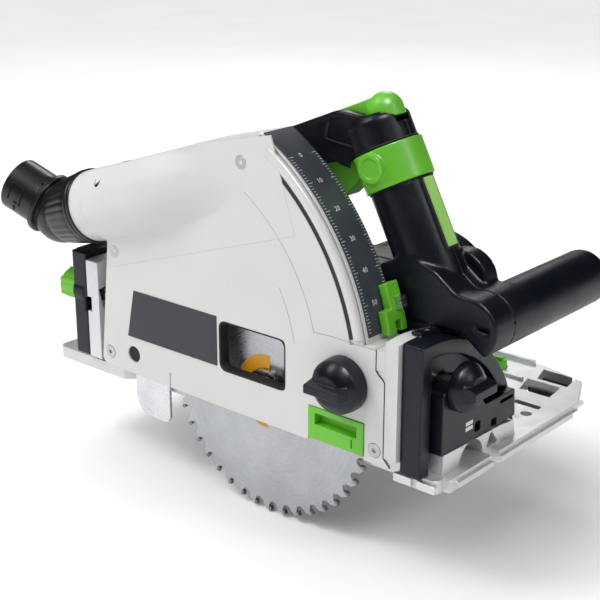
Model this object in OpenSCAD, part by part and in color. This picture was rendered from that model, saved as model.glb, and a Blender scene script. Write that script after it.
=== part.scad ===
// Track plunge saw. Axes: +X is the feed direction, +Y runs from the blade to the motor, +Z is up.
// The origin lies on the cut line, in the sole plane, below the arbor at full plunge. Millimetres.

/* [Blade] */
// Blade diameter
blade_d = 160; // [150:1:162]
// Number of teeth on the blade
blade_teeth = 42; // [24:2:56]
// Thickness of the blade body
blade_t = 1.8; // [1.4:0.1:2.2]
// Height of the arbor above the sole at full plunge
arbor_z = 25; // [24:0.5:26]

/* [Plunge] */
// Plunge pivot, distance behind the arbor
pivot_x = -72; // [-74:0.5:-70]
// Plunge pivot, height above the sole
pivot_z = 48; // [46:0.5:50]
// Outer radius of the arc that carries the depth scale
arc_r = 159.5; // [159:0.5:161]

/* [Guard] */
// Outer face of the blade cover
cover_y = -13; // [-14:0.5:-12]
// Wall of the blade cover
cover_wall = 1.8; // [1.5:0.1:2]
// Inner face of the guard's back wall
back_y = 12; // [11:0.5:12]
// Thickness of the guard's back wall
back_wall = 2.5; // [2:0.5:2.5]
// Outer radius of the dust duct
duct_r = 23.3; // [22:0.1:24]
// Slope of the dust duct, degrees
duct_tilt = 18; // [16:1:20]

/* [Base] */
// Length of the base plate
base_len = 320; // [300:5:330]
// Front edge of the base plate
base_front = 128; // [126:1:130]
// Far edge of the base plate
base_far = 183; // [170:1:190]
// Thickness of the base plate
base_t = 8; // [7:0.5:8]
// Width of the guide rail groove
groove_w = 17; // [16.5:0.1:17.5]
// Depth of the guide rail groove
groove_h = 4.5; // [4:0.5:5]
// Radius of the bevel segments
segment_r = 86.3; // [84:0.1:88]

/* [Motor] */
// Motor axis, forward of the arbor
motor_x = 30; // [30:0.01:30]
// Motor axis, height above the sole
motor_z = 62; // [62:0.01:62]
// Outer radius of the motor housing
motor_r = 42; // [40:0.5:43]
// Far end of the motor housing
motor_end = 142; // [138:1:146]

/* [Handles] */
// Middle plane of the main handle
grip_y = 40; // [39:0.5:41]
// Width of the main handle
grip_w = 38; // [34:1:38]
// Radius of the grip
grip_r = 18.6; // [17:0.1:19]
// Lean of the grip from the horizontal, degrees
grip_lean = 62.5; // [60:0.5:65]
// Radius of the front handle
bar_r = 17; // [15:0.5:17.5]
// Far end of the front handle
bar_end = 150; // [130:1:155]

/* [Hidden] */
$fn = 64;
eps = 0.01;
gap = 0.3;
run = 0.05;

pivot = [pivot_x, pivot_z];
arbor = [0, arbor_z];
motor = [motor_x, motor_z];
motor_dir = (motor - arbor) / norm(motor - arbor);
motor_angle = atan2(motor_dir[1], motor_dir[0]);

// Gear train: motor pinion, layshaft gear, layshaft pinion, arbor gear
fast_m = 1;
slow_m = 1.25;
z_motor = 16;
z_lay_in = 33;
z_lay_out = 12;
z_arbor = 25;
lay = arbor + motor_dir * slow_m * (z_lay_out + z_arbor) / 2;

grip_mid = [70, 150];
bar = [128, 90];
front_bolt = [19, 57.5];
rear_bolt = [-2, 57];
knob_at = [69.5, 54];
groove_y = 141.5;
cam_y = groove_y + 18;
cam_x = [57, -120];
hole_y = 107;
hole_x = [116, -178];
base_rear = base_front - base_len;
cover_in = cover_y + cover_wall;
back_out = back_y + back_wall;
wall_arc_r = arc_r - 2.5;
duct_end = [-147, -3.5, 115.8];
screw_at = [[-8, 168], [-120, 92.5], [-127.6, 22.4], [91, 19]];

navy = [0.09, 0.10, 0.13];
green = [0.42, 0.78, 0.26];
pale = [0.86, 0.86, 0.85];
alloy = [0.78, 0.79, 0.80];
steel = [0.62, 0.63, 0.65];
slate = [0.18, 0.20, 0.25];

// ---- helpers ----
function unit(v) = v / norm(v);
function polar(c, r, a) = [c[0] + r * cos(a), c[1] + r * sin(a)];
function arc(c, r, a0, a1, n = 24) = [for (i = [0:n]) polar(c, r, a0 + (a1 - a0) * i / n)];

// Points of one corner p, rounded with radius r between neighbours a and b
function corner(a, p, b, r, n = 6) =
    r == 0 ? [p] :
    let (u = unit(a - p), v = unit(b - p), half = acos(u * v) / 2,
         c = p + unit(u + v) * r / sin(half),
         s = p + u * r / tan(half), e = p + v * r / tan(half),
         a0 = atan2(s[1] - c[1], s[0] - c[0]), a1 = atan2(e[1] - c[1], e[0] - c[0]),
         d = a1 - a0, turn = d > 180 ? d - 360 : d < -180 ? d + 360 : d)
    [for (i = [0:n]) polar(c, r, a0 + turn * i / n)];

// A polygon from [x, y, corner radius] rows
function rounded(rows) =
    let (m = len(rows), at = [for (q = rows) [q[0], q[1]]])
    [for (i = [0:m - 1]) each corner(at[(i + m - 1) % m], at[i], at[(i + 1) % m],
                                     len(rows[i]) > 2 ? rows[i][2] : 0)];

// 2-D (x, z) shape as a slab between two y values
module yslab(y0, y1) translate([0, y1, 0]) rotate([90, 0, 0]) linear_extrude(y1 - y0) children();
// 2-D (y, z) shape as a slab between two x values
module xslab(x0, x1) translate([x0, 0, 0]) rotate([90, 0, 90]) linear_extrude(x1 - x0) children();
// Cylinders along the axes, at a 2-D point of the other two
module yrod(p, r, y0, y1) translate([p[0], y0, p[1]]) rotate([-90, 0, 0]) cylinder(r = r, h = y1 - y0);
module xrod(p, r, x0, x1) translate([x0, p[0], p[1]]) rotate([0, 90, 0]) cylinder(r = r, h = x1 - x0);
module zrod(p, r, z0, z1) translate([p[0], p[1], z0]) cylinder(r = r, h = z1 - z0);
module box(lo, hi) translate(lo) cube(hi - lo);
module yring(p, ro, ri, y0, y1) difference() {
    yrod(p, ro, y0, y1);
    yrod(p, ri, y0 - 1, y1 + 1);
}
// Cylinder frame along the dust duct, z pointing out of its end
module on_duct() translate(duct_end) rotate([0, -90 - duct_tilt, 0]) children();
// Frame of the grip: z runs up the grip, x points forward
module on_grip() translate([grip_mid[0], grip_y, grip_mid[1]]) rotate([0, grip_lean - 90, 0]) children();

// Involute gear outline, teeth placed so that one is centred at angle a
function inv(a) = tan(a) * 180 / PI - a;
function half_tooth(z, m, r, lash) =
    let (rb = z * m / 2 * cos(20)) 90 / z - lash / (z * m) * 57.3 + inv(20) - inv(acos(min(1, rb / r)));
function gear_points(z, m, a, lash = 0.12) =
    let (rp = z * m / 2, rb = rp * cos(20), ra = rp + 0.85 * m, rf = rp - 1.2 * m,
         flank = [max(rb, rf + 0.05), rp, ra])
    [for (i = [0:z - 1]) let (c = a + 360 * i / z) each concat(
        [polar([0, 0], rf, c - half_tooth(z, m, flank[0], lash))],
        [for (r = flank) polar([0, 0], r, c - half_tooth(z, m, r, lash))],
        [for (k = [2:-1:0]) polar([0, 0], flank[k], c + half_tooth(z, m, flank[k], lash))],
        [polar([0, 0], rf, c + half_tooth(z, m, flank[0], lash))])];
module gear(z, m, a, bore) difference() {
    polygon(gear_points(z, m, a));
    circle(r = bore);
}

// ---- base ----
base_outline = rounded([
    [base_rear, -4, 5], [-126, -4, 1], [-120, 2.4, 1], [-48, 2.4, 3], [-48, 48, 6], [48, 48, 6],
    [48, 2.4, 3], [98, 2.4, 1], [103, -5, 1], [base_front, -5, 4], [base_front, 150, 5],
    [117, 174, 5], [80, base_far, 12], [base_rear + 12, base_far, 10], [base_rear, base_far - 22, 10]]);

module base_pockets() {
    // slanted cut-outs at the front far corner
    for (row = [[138, 156], [160, 176]])
        translate([0, 0, -1]) linear_extrude(12)
            polygon([[92, row[0]], [114, row[0]], [111, row[1]], [87, row[1]]]);
    // slot beside the accessory hole
    translate([0, 0, -1]) linear_extrude(12) polygon(rounded(
        [[100, 117, 1.5], [119, 117, 1.5], [118, 122, 1.5], [99, 122, 1.5]]));
    for (x = hole_x) zrod([x, hole_y], 3.5, -1, 12);
    // lightening pockets from above, rows of three
    for (x = [-170, -112, -54]) box([x, 60, 5], [x + 48, 98, 12]);
    // rail cams
    for (x = cam_x) {
        zrod([x, cam_y], 5 + run, -1, 12);
        zrod([x, cam_y], 10.5, 5.5, 12);
        zrod([x, cam_y], 8.6, -1, 3.5);
    }
}
segment_screw_x = 114;
segment_screw_y = [10, 70];
clip_x = [100, 116];
module clip_tongue(x) box([x + 1, -6, 4], [x + 11, 1.5, 6]);
module lug() difference() {
    xslab(107, 126) polygon(rounded([[4, base_t - 1], [78, base_t - 1], [76, 17.5], [62, 19], [4, 20.3, 1]]));
    xrod([32, 8], 12, 116, 130);
    xslab(118, 130) polygon(rounded([[47, 9.5, 1], [60, 9.5, 1], [52, 19, 1]]));
}
module base_plate() color(alloy) difference() {
    union() {
        linear_extrude(base_t) polygon(base_outline);
        // ribs: both sides of the rail groove, the far edge and the front lip
        for (y = [groove_y - 11, groove_y + 8.6])
            box([base_rear + 6, y, base_t - 1], [86, y + 2.4, base_t + 2]);
        box([base_rear + 14, base_far - 5, base_t - 1], [78, base_far - 2, base_t + 3]);
        box([base_rear + 5, 4, base_t - 1], [-164, 150, base_t + 2]);
        xslab(120, base_front + 4) polygon(rounded(
            [[2, 0], [148, 0], [150, 6, 1], [148, base_t, 1], [2, base_t, 1]]));
        xslab(base_front - 3, base_front + 6)
            polygon(rounded([[8, 1.5, 1], [140, 1.5, 1], [140, 5, 1], [8, 5, 1]]));
        lug();
        // seat of the rear segment
        box([-162, 4, base_t - 1], [-150, 76, base_t + 6]);
    }
    box([base_rear - 1, groove_y - groove_w / 2, -1], [base_front + 9, groove_y + groove_w / 2, groove_h]);
    // notch in the front lip
    box([base_front - 2, 44, -1], [base_front + 9, 52, 9]);
    base_pockets();
    for (y = segment_screw_y) {
        zrod([segment_screw_x, y], 2.1, -1, 22);
        zrod([segment_screw_x, y], 4.1, -1, 4);
    }
    for (x = clip_x) clip_tongue(x);
}

// Quarter disc of a bevel segment in (y, z), from the near side to the base
function segment_points(r, y0, z0) = concat(
    [[y0, z0]], arc([0, 0], r, 90 - asin(y0 / r), asin(z0 / r), 24));
module front_segment() color(navy) difference() {
    union() {
        xslab(106.3, 112) polygon(segment_points(segment_r, -10, base_t));
        xslab(106.3, 109) polygon(segment_points(segment_r + 2.2, 3, 12));
        // raised rim along the near side and round the arc
        xslab(111, 120) difference() {
            polygon(segment_points(segment_r, -10, base_t));
            polygon(segment_points(segment_r - 9, -1, base_t - 1));
        }
        // scale lip that reaches back over the front flange
        xslab(102.5, 107) difference() {
            polygon(segment_points(segment_r + 2.2, 3, 12));
            circle(r = segment_r, $fn = 180);
        }
    }
    xslab(100, 130) translate(front_bolt) circle(r = 4);
    box([105, 3.9, 0], [122, 80, 20.4]);
    xslab(110, 122) polygon(block_outline);
    xslab(110, 122) polygon([[40, 20], [90, 20], [90, 37], [40, 37]]);
}
block_outline = rounded([[2, 20.4], [77, 20.4], [75.5, 38, 1.5], [44, 38, 3], [33, 57.5, 6], [2, 57.5, 3]]);
module clamp_block() color(navy) difference() {
    xslab(110, 126) polygon(block_outline);
    xslab(109, 130) translate(front_bolt) circle(r = 4);
    for (y = segment_screw_y) zrod([segment_screw_x, y], 2, 19, 34);
    // latch window and sight holes in the front face
    box([122, 34, 24], [127, 40, 30]);
    box([122, 51, 20], [127, 57, 26]);
    box([122, 60, 33], [127, 74, 35]);
}
module rear_segment() color(navy) difference() {
    union() {
        xslab(-153, -148.6) polygon(segment_points(segment_r, -13, base_t + 6));
        xslab(-162, -152) difference() {
            polygon(segment_points(segment_r, -13, base_t + 6));
            polygon(segment_points(segment_r - 4, -9, base_t + 5));
        }
        xrod(rear_bolt, 12, -162, -152);
    }
    xrod(rear_bolt, 4, -170, -140);
    // window for the clamp shoe on the near side
    box([-151, -14, 45], [-147, -6, 55]);
}
module segment_screws() color(steel) {
    for (y = segment_screw_y) {
        zrod([segment_screw_x, y], 2, 2, 33.5);
        zrod([segment_screw_x, y], 4, 1.2, 4);
    }
}
module edge_clips() color(steel) for (x = clip_x) {
    box([x, -6.8, 1], [x + 12, -5 - eps, 6]);
    clip_tongue(x);
}
module front_clamp_bolt() color(steel) {
    xrod(front_bolt, 3.95, 92.2, 137);
    xrod(front_bolt, 6.8, 92.2, 96.7);
}
module rear_clamp_bolt() color(steel) {
    xrod(rear_bolt, 3.95, -175, -133);
    xrod(rear_bolt, 6, -136.6, -132.6);
}
// Clamping knob: round foot, domed body and a crest along the local x axis; z points away from the machine
module crest_knob(r, h, crest) difference() {
    union() {
        cylinder(r = r, h = 4);
        intersection() {
            translate([0, 0, 4 - eps]) cylinder(r1 = r, r2 = r - 1.5, h = h - 9);
            translate([0, 0, h - 5 - r]) sphere(r = r + 2);
        }
        translate([-crest / 2, 0, 3]) rotate([90, 0, 90]) linear_extrude(crest)
            polygon([[-6.5, 0], [6.5, 0], [2.6, h - 3], [-2.6, h - 3]]);
    }
    translate([0, 0, -1]) cylinder(r = 4, h = h - 4);
}
module front_bevel_knob() color(navy)
    translate([126.3, front_bolt[0], front_bolt[1]]) rotate([0, 90, 0]) rotate([0, 0, 90])
        crest_knob(14.5, 16, 22);
module rear_bevel_knob() color(green)
    translate([-162.3, rear_bolt[0], rear_bolt[1]]) rotate([0, -90, 0]) difference() {
        union() {
            cylinder(r = 10, h = 15);
            for (i = [0:5]) rotate([0, 0, 60 * i]) translate([9, 0, 0]) cylinder(r = 2, h = 15);
        }
        translate([0, 0, -1]) cylinder(r = 4, h = 15.2);
    }
module rail_cam(x) color(green) {
    zrod([x, cam_y], 5, 0.6, 7);
    zrod([x, cam_y], 10, 6, 13);
    box([x - 9, cam_y - 1.6, 12], [x + 9, cam_y + 1.6, 16]);
    zrod([x, cam_y + 1.2], 6.6, 0.6, 3.2);
}
module front_rail_cam() rail_cam(cam_x[0]);
module rear_rail_cam() rail_cam(cam_x[1]);

// ---- guard ----
roof = [[-40, 175], [-140.5, 141.7]];
arc_top = 60.4;
arc_low = asin((79.3 - pivot_z) / wall_arc_r);
// Outline of the guard with its arc at radius r, behind the given points of its lower edge
function guard_outline(low, r, peak) = rounded(concat(
    low, [for (q = arc(pivot, r, arc_low, arc_top - 3, 40)) [q[0], q[1], 0]],
    [[peak[0], peak[1], 4], [roof[0][0], roof[0][1], 0], [roof[1][0], roof[1][1], 0], [-126, 97, 0]]));
cover_outline = guard_outline(
    [[-136, 13, 5], [-40, 11.5, 0], [103, 10.5, 1], [97, 15.5, 0.5], [97, 62, 1], [91, 67, 1], [91, 79.3, 2]],
    wall_arc_r, [4.5, 184.7]);
back_outline = guard_outline([[-136, 13, 5], [-40, 12, 0], [90.7, 12, 1], [90.7, 79.3, 2]],
                             arc_r - 0.8, [5.2, 186.4]);

module duct_solid(r, grow = 0) on_duct() {
    translate([0, 0, -62]) cylinder(r = r, h = 62 + grow);
    translate([0, 0, -112]) cylinder(r1 = r - 12, r2 = r, h = 50 + eps);
}
module guard_housing() color(pale) difference() {
    union() {
        yslab(back_y, back_out) polygon(back_outline);
        // walls round the edge: roof, rear wall, front wall and box top
        yslab(cover_in, back_y + eps) difference() {
            polygon(back_outline);
            polygon([[-200, 0], [-134.2, 15], [-124, 97.8], [-138, 139.4], [-39.5, 172.8], [4, 182.5],
                     each arc(pivot, wall_arc_r + 1, arc_top, arc_low, 30), [88.5, 77], [88.5, 0]]);
        }
        yslab(cover_in + 1.6, back_out) polygon(concat(
            arc(pivot, arc_r - 0.8, arc_low, arc_top, 40), arc(pivot, wall_arc_r, arc_top, arc_low, 40)));
        for (p = screw_at) yrod(p, 4.5, cover_in, back_y + 1);
        yrod(pivot, 14, back_out - eps, 15.2);
        yrod(pivot, 11, 5, back_y + 1);
    }
    // way for the arbor neck, a sector about the pivot that is open at the bottom
    yslab(back_y - 1, back_out + 1) polygon(concat(
        arc(pivot, 96, 41, -33, 24), [[8, 0], [-30, 0]], arc(pivot, 55.6, -33, 41, 16)));
    duct_solid(duct_r, 2);
    for (p = screw_at) yrod(p, 1.9, cover_in - 1, back_y - 4);
    yrod(pivot, 6, 0, 20);
}
module blade_cover() color(pale) difference() {
    union() {
        yslab(cover_y, cover_in) polygon(cover_outline);
        // rolled rim along the arc and down to the box
        yslab(cover_in - eps, cover_in + 1.5) polygon(concat(
            arc(pivot, wall_arc_r, arc_low, arc_top - 3, 40),
            arc(pivot, wall_arc_r - 1.2, arc_top - 3, arc_low, 40)));
    }
    duct_solid(duct_r, 2);
    // sight window over the flange
    yslab(cover_y - 1, cover_in + 1) polygon(rounded([[-28, 36, 5], [25, 36, 3], [25, 68, 3], [-28, 68, 5]]));
    // seat of the splinter guard, open at the bottom
    yslab(cover_y - 1, cover_in + 1)
        polygon(rounded([[42.7, 0], [83.8, 0], [83.8, 33.3, 0.5], [42.7, 33.3, 0.5]]));
    yrod([-105, 26], 5.5, cover_y - 1, cover_in + 1);
    box([-72.4, cover_y - 1, 8], [-71.6, cover_in + 1, 22]);
    for (p = screw_at) {
        yrod(p, 4.4, cover_y - 1, cover_y + 1);
        yrod(p, 2.2, cover_y - 1, cover_in + 1);
    }
    yrod(knob_at, 4.1, cover_y - 1, cover_in + 1);
    // groove beside the rim
    yslab(cover_y - 1, cover_y + 1) polygon(concat(
        arc(pivot, wall_arc_r - 6.3, arc_low, arc_top - 4, 40),
        arc(pivot, wall_arc_r - 9.3, arc_top - 4, arc_low, 40)));
}
module front_flange() color(pale) difference() {
    union() {
        xslab(97.3, 106) polygon(concat(
            [[cover_y, 15.8]],
            arc([0, 0], segment_r - 0.4, 90 - asin(cover_y / segment_r), asin(14 / segment_r), 24),
            [[80, 14]]));
        xslab(91.3, 97.4) polygon(
            [[8, 14], [10.8, 14], [10.8, 79.3], [cover_y, 79.3], [cover_y, 67.3], [8, 67.3]]);
    }
    // curved slot that the clamp bolt rides in
    xslab(90, 108) polygon(concat(
        arc([0, 0], norm(front_bolt) + 4.4, 20, 77, 24), arc([0, 0], norm(front_bolt) - 4.4, 77, 20, 24)));
    yrod(screw_at[3], 5, -20, 13);
}
module rear_flange() color(alloy) difference() {
    xslab(-148.3, -137.3) polygon(concat(
        [[cover_y, 14]], arc([0, 0], 82, 90 - asin(cover_y / 82), asin(16 / 82), 24), [[76, 14]]));
    xslab(-150, -136) polygon(concat(
        arc([0, 0], norm(rear_bolt) + 4.4, 40, 98, 24), arc([0, 0], norm(rear_bolt) - 4.4, 98, 40, 24)));
    xslab(-142, -136) polygon(concat(
        arc([0, 0], norm(rear_bolt) + 7, 37, 101, 24), arc([0, 0], norm(rear_bolt) - 7, 101, 37, 24)));
    box([-149, -14, 46], [-144.5, -9, 56]);
}
module dust_duct() color(pale) difference() {
    duct_solid(duct_r);
    duct_solid(duct_r - 2, 3);
    // inside the guard only the bulge on the near side is left
    box([-115, cover_in, 60], [20, 40, 200]);
}
module depth_scale() color(slate) yslab(cover_in + 1.7, back_out) polygon(concat(
    arc(pivot, arc_r, arc_low + 1.2, arc_top, 48), arc(pivot, arc_r - 0.79, arc_top, arc_low + 1.2, 48)));
module name_plate() color(slate) yslab(cover_y - 0.4, cover_y)
    polygon([[-109.7, 38], [-30, 38], [-30, 70], [-102.8, 70]]);
module cover_screws() color(steel) for (p = screw_at) difference() {
    union() {
        yrod(p, 4.2, cover_y - 0.2, cover_y + 0.9);
        yrod(p, 1.85, cover_y, cover_y + 14);
    }
    yrod(p, 1.5, cover_y - 1, cover_y + 0.5, $fn = 6);
}
module plunge_axle() color(steel) {
    yrod(pivot, 6, 4, 44);
    yring(pivot, 8.5, 6 - eps, 44, 46);
}
module plunge_spring() color(steel) for (i = [0:3])
    translate([pivot[0], 31.6 + 2.6 * i, pivot[1]]) rotate([90, 0, 0])
        rotate_extrude() translate([9.5, 0]) circle(r = 1.1, $fn = 16);
module knife_guide() color(steel) difference() {
    box([-121, -4, 22], [-83.5, back_y, 38]);
    box([-118.3, -1.15, 0], [-85.2, 1.15, 60]);
    box([-116, 3, 25], [-88, back_y - 3, 60]);
}
module splinter_guard() color(green) difference() {
    union() {
        yslab(cover_y - 0.6, cover_in) polygon([[43, 13], [83.5, 13], [83.5, 33], [43, 33]]);
        yslab(cover_in - eps, -3) polygon([[45, 13.5], [79, 13.5], [79, 19], [45, 19]]);
        yslab(cover_in - eps, -6.8) polygon([[45, 19 - eps], [81, 19 - eps], [81, 32], [45, 32]]);
    }
    // finger recess and the narrow slot beside it
    yslab(cover_y - 2, -8.3)
        polygon(rounded([[48, 22.5, 0.6], [78.5, 22.5, 0.6], [78.5, 29.5, 0.6], [48, 29.5, 0.6]]));
    yslab(cover_y - 2, cover_y + 0.9) polygon([[74.5, 15.5], [75.6, 15.5], [75.6, 20.5], [74.5, 20.5]]);
}
module cover_knob() color(navy)
    translate([knob_at[0], cover_y - gap, knob_at[1]]) rotate([90, 0, 0]) crest_knob(16.5, 21.5, 25);

// ---- depth stop, rides on the arc ----
module stop_shape(r0, r1, a0, a1) polygon(concat(arc(pivot, r1, a0, a1, 8), arc(pivot, r0, a1, a0, 8)));
module depth_stop() color(green) {
    difference() {
        yslab(1, 17.3) stop_shape(arc_r + gap, arc_r + 6, 12.2, 22);
        yslab(8, 12.5) stop_shape(arc_r, arc_r + 8, 12, 14.5);
        yslab(-1, 6.5) stop_shape(arc_r, arc_r + 8, 17, 23);
    }
    yslab(back_out + gap, 17.3) stop_shape(arc_r - 9, arc_r + 1, 12.2, 22);
}
module stop_tab() color(steel) yslab(11, 16) stop_shape(arc_r + 6, arc_r + 10, 16.5, 19);

// ---- extraction elbow ----
// The ball of the elbow sits on the duct axis at ball_z;
// from there the outlet leans by elbow_bend, turned by elbow_turn
ball_z = 33.5;
ball_r = 20.3;
outlet_r = 18;
outlet_end = 40;
ring_z = 11;
elbow_bend = 43;
elbow_turn = -17;
module outlet_frame()
    translate([0, 0, ball_z]) rotate([0, 0, elbow_turn]) rotate([0, elbow_bend, 0]) children();
module elbow_collar() color(navy) on_duct() difference() {
    union() {
        translate([0, 0, 0.4]) cylinder(r = duct_r + 0.9, h = 2.4);
        translate([0, 0, 2.6]) cylinder(r1 = duct_r + 0.6, r2 = ball_r + 0.6, h = 26.4);
    }
    translate([0, 0, -1]) cylinder(r = 17, h = 30);
    translate([0, 0, ball_z]) sphere(r = ball_r);
}
module dust_elbow() color(navy) on_duct() difference() {
    union() {
        translate([0, 0, ball_z]) sphere(r = ball_r - 0.1);
        outlet_frame() {
            cylinder(r = outlet_r + 0.3, h = ring_z + 3.5);
            cylinder(r = outlet_r, h = outlet_end);
        }
    }
    translate([0, 0, ball_z]) sphere(r = ball_r - 3);
    outlet_frame() cylinder(r = 14.5, h = 60);
    translate([0, 0, -10]) cylinder(r = 15, h = ball_z + 10);
}
module hose_ring() color(navy) on_duct() outlet_frame() difference() {
    translate([0, 0, ring_z]) cylinder(r = 21, h = 3.5);
    translate([0, 0, ring_z - 2]) cylinder(r = outlet_r + 0.3, h = 8);
    sphere(r = ball_r - 0.1);
}
module riving_knife() color(steel) yslab(-0.9, 0.9)
    polygon(rounded([[-117.5, -22, 14], [-86, -22, 6], [-86, 46, 3], [-117.5, 46, 3]]));

// ---- motor unit ----
case_outline = [
    [-22, 30], [-14, 12], [14, 12], [22, 25], [50, 48], [56, 62], [44, 84], [20, 88], [-30, 78], [-66, 59.5],
    [-72, 61], [-72, 35], [-66, 36.5]];
module gear_case() color(navy) difference() {
    union() {
        yslab(15.6, 42) {
            polygon(case_outline);
            translate(arbor) circle(r = 20);
            translate(motor) circle(r = 27);
        }
        yrod(arbor, 17, 9, 15.7);
        yrod(pivot, 13, 15.6, 29);
    }
    // spring and axle space behind the pivot boss
    box([-90, 29, 20], [-58, 50, 80]);
    yrod(pivot, 6 + run, 0, 60);
    yrod(arbor, 14, 9 - eps, 16.6);
    yrod(arbor, 11, 16, 19);
    yslab(18.5, 42 + eps) {
        translate(arbor) circle(r = 17.8);
        translate(lay) circle(r = 9.6);
    }
    yrod(lay, 18.6, 32, 42 + eps);
    yrod(motor, 10.5, 32, 42 + eps);
    yrod(lay, 4.5, 15.5, 19);
    for (p = case_screw_at) yrod(p, 2, 30, 43);
}
case_screw_at = [[-28, 66], [46, 74], [-48, 48]];
module bearing_plate() color(alloy) difference() {
    yslab(42, 46) {
        polygon(case_outline);
        translate(arbor) circle(r = 20);
        translate(motor) circle(r = 40);
    }
    box([-90, 40, 20], [-58, 50, 80]);
    yrod(motor, 13, 41, 47);
    yrod(arbor, 12, 41, 45);
    yrod(lay, 4.5, 41, 45);
    for (p = case_screw_at) yrod(p, 2.1, 41, 47);
}
module arbor_bearings() color(steel) {
    yring(arbor, 14, 6 + run, 9.2, 16.4);
    yring(arbor, 12, 5 + run, 42.2, 45);
}
module motor_bearings() color(steel) {
    yring(motor, 13, 4 + run, 42, 49.5);
    yring(motor, 9.5, 4 + run, 130, 136);
}
module motor_housing() color(navy) difference() {
    union() {
        yrod(motor, motor_r, 46, motor_end - 13);
        box([motor_x - 38, 60, 24], [motor_x - 18, 120, 40]);
    }
    yrod(motor, motor_r - 3, 49, motor_end);
    yrod(motor, 13, 45, 50);
    // cooling slots round the far end
    for (a = [-60:20:60]) translate([motor[0], 0, motor[1]]) rotate([0, a, 0])
        box([-2.2, 112, 30], [2.2, 124, 60]);
    for (a = [150:20:210]) translate([motor[0], 0, motor[1]]) rotate([0, a, 0])
        box([-2.2, 50, 30], [2.2, 60, 60]);
    for (p = case_screw_at) yrod(p, 3.8, 45, 50);
}
module motor_end_cap() color(navy) difference() {
    union() {
        yrod(motor, motor_r, motor_end - 12.9, motor_end - 6);
        translate([motor[0], motor_end - 6 - eps, motor[1]]) rotate([-90, 0, 0])
            cylinder(r1 = motor_r, r2 = motor_r - 6, h = 6);
        yrod(motor, motor_r - 3.1, motor_end - 16, motor_end - 12);
    }
    yrod(motor, motor_r - 6, motor_end - 20, motor_end - 9);
    yrod(motor, 9.5, motor_end - 12, motor_end - 6);
    for (x = [-24:8:24]) box([motor[0] + x - 1.5, motor_end - 10, motor_z - 22],
                             [motor[0] + x + 1.5, motor_end + 1, motor_z - 14]);
}
module stator() color(steel) difference() {
    yrod(motor, motor_r - 3.1, 68, 108);
    yrod(motor, 23, 60, 120);
}
module brush_holders() color([0.72, 0.55, 0.25]) for (s = [-1, 1])
    translate([motor[0], 0, motor[1]]) rotate([0, s * 90, 0]) difference() {
        box([-5, 117, 13], [5, 126, 37]);
        box([-3, 119, 12], [3, 124, 38]);
    }
module case_screws() color(steel) for (p = case_screw_at) {
    yrod(p, 1.9, 31, 46.1);
    yrod(p, 3.6, 46, 48.5);
}

// Band of the swing lever and dome of the switch lock, in the frame of the grip
band_z = 8.5;
band_w = 22;
dome_x = 8;
dome_r = 10.6;

// Side outlines of the top bar with the rear leg, and of the foot that carries the front handle
bar_outline = rounded([
    [-40, 91, 4], [-20, 104.6, 4], [-37, 113, 5], [-41, 130, 12], [-22, 147, 12], [6, 160, 12], [30, 167, 6],
    [46, 163, 2], [58, 176, 6], [56, 196, 8], [30, 197, 14], [-9, 181, 16], [-40, 163, 16], [-60, 145, 16],
    [-69, 124, 12], [-64, 104, 8]]);
foot_outline = rounded([
    [-30, 99, 2], [20, 92, 0], [66, 74, 4], [84, 64, 8], [112, 73, 10], [145, 73, 16.9], [145, 107, 16.9],
    [118, 108, 6], [104, 118, 6], [84, 124, 4], [62, 112, 5], [-30, 110, 2]]);
module handle_solid() {
    on_grip() {
        translate([0, 0, -50]) cylinder(r = grip_r, h = 96);
        translate([0, 0, 46]) cylinder(r1 = grip_r, r2 = grip_r - 3, h = 4);
    }
    yslab(grip_y - 15, grip_y + 15) polygon(bar_outline);
    yslab(grip_y - grip_w / 2, grip_y + grip_w / 2) polygon(foot_outline);
    yrod(bar, bar_r, grip_y - 14, grip_y + 20);
    yrod([103, 106], 18, grip_y + 8, grip_y + 20);
}
module handle_body(y0, y1) difference() {
    intersection() {
        handle_solid();
        box([-100, y0, 0], [160, y1, 220]);
    }
    // room for the case, the bearing plate and the motor
    yslab(10, 46) polygon(case_outline);
    yrod(motor, 27.2, 10, 42);
    yrod(motor, 40 + run, 41.8, 46);
    yrod(motor, motor_r + run, 46 - eps, 70);
    // relief over the bevel segment
    xrod([0, 0], segment_r + 3.2, 90, 122);
    translate([122 - eps, 0, 0]) rotate([0, 90, 0])
        cylinder(r1 = segment_r + 3.2, r2 = segment_r - 13, h = 24);
    // ring seat of the swing lever
    on_grip() translate([0, 0, band_z - 0.4]) difference() {
        cylinder(r = 23.5, h = band_w + 0.8);
        translate([0, 0, -1]) cylinder(r = grip_r - 1.6, h = band_w + 3);
    }
    // spaces inside the grip and the top bar
    on_grip() translate([0, 0, -44]) cylinder(r = 14, h = 50);
    translate([2, grip_y - 11, 174]) rotate([0, -25, 0]) translate([-42, 0, -8]) cube([58, 22, 15]);
    // slots for the trigger and the lock, recess of the front inlay
    box([13, grip_y - 7.5, 150], [47, grip_y + 7.5, 178]);
    yslab(grip_y - 6.4, grip_y + 6.4) polygon([[16.6, 183.5], [16.6, 205], [50, 215], [53, 188.5]]);
    on_grip() translate([dome_x, 0, 41]) cylinder(r = dome_r + gap, h = 30);
    on_grip() translate([16, -4.2, -34]) cube([12, 8.4, 41]);
    yrod([-44, 146], 9.4, grip_y + 10, grip_y + 20);
    translate([-60, grip_y, 118]) rotate([0, -100, 0]) cylinder(r = 10, h = 30);
}
module handle_shell_left() color(navy) difference() {
    handle_body(grip_y - 20, grip_y);
    // slot in the near end of the foot
    yslab(grip_y - 21, grip_y - grip_w / 2 + 4) polygon([[122, 91], [140, 90.2], [140, 92.4], [122, 92.4]]);
}
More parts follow.
